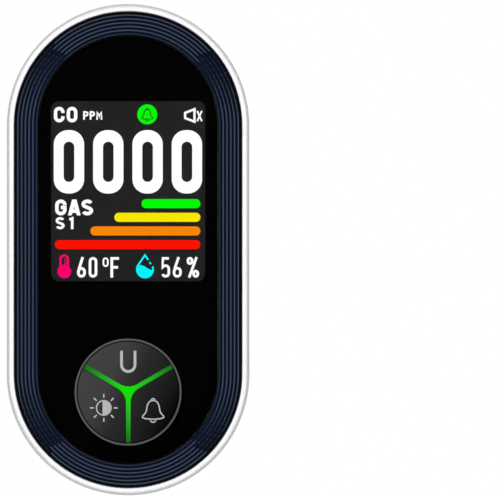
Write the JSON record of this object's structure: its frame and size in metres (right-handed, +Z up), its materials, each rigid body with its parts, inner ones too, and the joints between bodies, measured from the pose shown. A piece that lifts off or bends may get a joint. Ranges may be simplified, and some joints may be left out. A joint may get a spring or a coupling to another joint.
{
  "type": "carbon monoxide detector",
  "caption": "Pill-shaped plug-in gas alarm with a dark window, colour display, round keypad of sector keys, vented white shell and swivelling two-blade mains plug.",
  "frame": {"origin": "midway between the two mains blades, on the plug head's face that meets the wall outlet", "axes": "+Y into the wall outlet along the blades, display faces -Y, +Z up along the housing"},
  "size_m": [0.0594, 0.0606, 0.12],
  "materials": {
    "white_shell": "smooth satin white ABS",
    "bezel_blue": "glossy dark blue",
    "window_clear": "clear acrylic",
    "mask_black": "printed black film",
    "foam_black": "fine foam",
    "display_dark": "unlit LCD glass",
    "backlight_white": "matt white",
    "tray_steel": "thin steel",
    "flex_amber": "amber film",
    "key_black": "satin dark grey",
    "ring_grey": "satin grey",
    "guide_green": "green translucent",
    "led_white": "LED package",
    "switch_black": "moulded black",
    "plunger_white": "moulded white",
    "board_green": "solder mask",
    "cell_white": "moulded cell",
    "sensor_black": "moulded black",
    "gauze_black": "woven black gauze",
    "sensor_can": "drawn nickel can",
    "chip_pale": "small package",
    "ferrite": "dark ferrite",
    "winding_yellow": "tape",
    "capacitor_can": "sleeved can",
    "fuse_body": "ceramic",
    "brass": "plain brass",
    "blade_nickel": "nickel plated",
    "screw_steel": "zinc plated",
    "spring_steel": "spring steel",
    "insert_grey": "moulded grey",
    "latch_white": "satin white",
    "label_silver": "blank label"
  },
  "bodies": {
    "plug_head": {"plug_base": "white_shell", "plug_insert": "insert_grey", "plug_blades": "blade_nickel", "contact_arms": "brass", "retaining_clip": "spring_steel", "insert_screws": "screw_steel", "latch_spring": "spring_steel"},
    "housing": {"front_frame": "white_shell", "bezel_ring": "bezel_blue", "front_lens": "window_clear", "lens_mask": "mask_black", "display_gasket": "foam_black", "display_panel": "display_dark", "display_backlight": "backlight_white", "display_tray": "tray_steel", "display_flex": "flex_amber", "display_connector": "backlight_white", "rear_housing": "white_shell", "vent_screen": "gauze_black", "key_ring": "ring_grey", "key_switches": "switch_black", "light_guide": "guide_green", "key_light": "led_white", "main_board": "board_green", "processor": "switch_black", "co_sensor": "cell_white", "gas_sensor_base": "sensor_black", "gas_sensor_cap": "sensor_can", "gas_sensor_mesh": "tray_steel", "climate_sensor": "chip_pale", "buzzer": "switch_black", "power_board": "board_green", "transformer_core": "ferrite", "transformer_winding": "winding_yellow", "filter_capacitors": "capacitor_can", "bridge_rectifier": "sensor_black", "mains_fuse": "fuse_body", "board_link": "switch_black", "slip_board": "board_green", "slip_rings": "brass", "supply_pins": "brass", "case_screws": "screw_steel", "board_screws": "screw_steel", "power_screws": "screw_steel", "rating_label": "label_silver"},
    "latch": {"plug_latch": "latch_white"},
    "unit_button": {"unit_key": "key_black", "unit_plunger": "plunger_white"},
    "brightness_button": {"brightness_key": "key_black", "brightness_plunger": "plunger_white"},
    "mute_button": {"mute_key": "key_black", "mute_plunger": "plunger_white"}
  },
  "joints": [
    {"name": "plug_swivel", "type": "hinge", "parent": "plug_head", "child": "housing", "pos_m": [0, -0.0063, -0.0017], "axis": [0, 1, 0], "range_deg": [0, 90]},
    {"name": "latch_press", "type": "slide", "parent": "plug_head", "child": "latch", "axis": [0, 0, -1], "range_m": [0, 0.0006], "stiffness_N_per_m": 400, "springref_m": -0.001, "deforming": ["latch_spring"]},
    {"name": "unit_press", "type": "slide", "parent": "housing", "child": "unit_button", "axis": [0, 1, 0], "range_m": [0, 0.0005], "stiffness_N_per_m": 600, "springref_m": -0.0005},
    {"name": "brightness_press", "type": "slide", "parent": "housing", "child": "brightness_button", "axis": [0, 1, 0], "range_m": [0, 0.0005], "stiffness_N_per_m": 600, "springref_m": -0.0005},
    {"name": "mute_press", "type": "slide", "parent": "housing", "child": "mute_button", "axis": [0, 1, 0], "range_m": [0, 0.0005], "stiffness_N_per_m": 600, "springref_m": -0.0005}
  ]
}
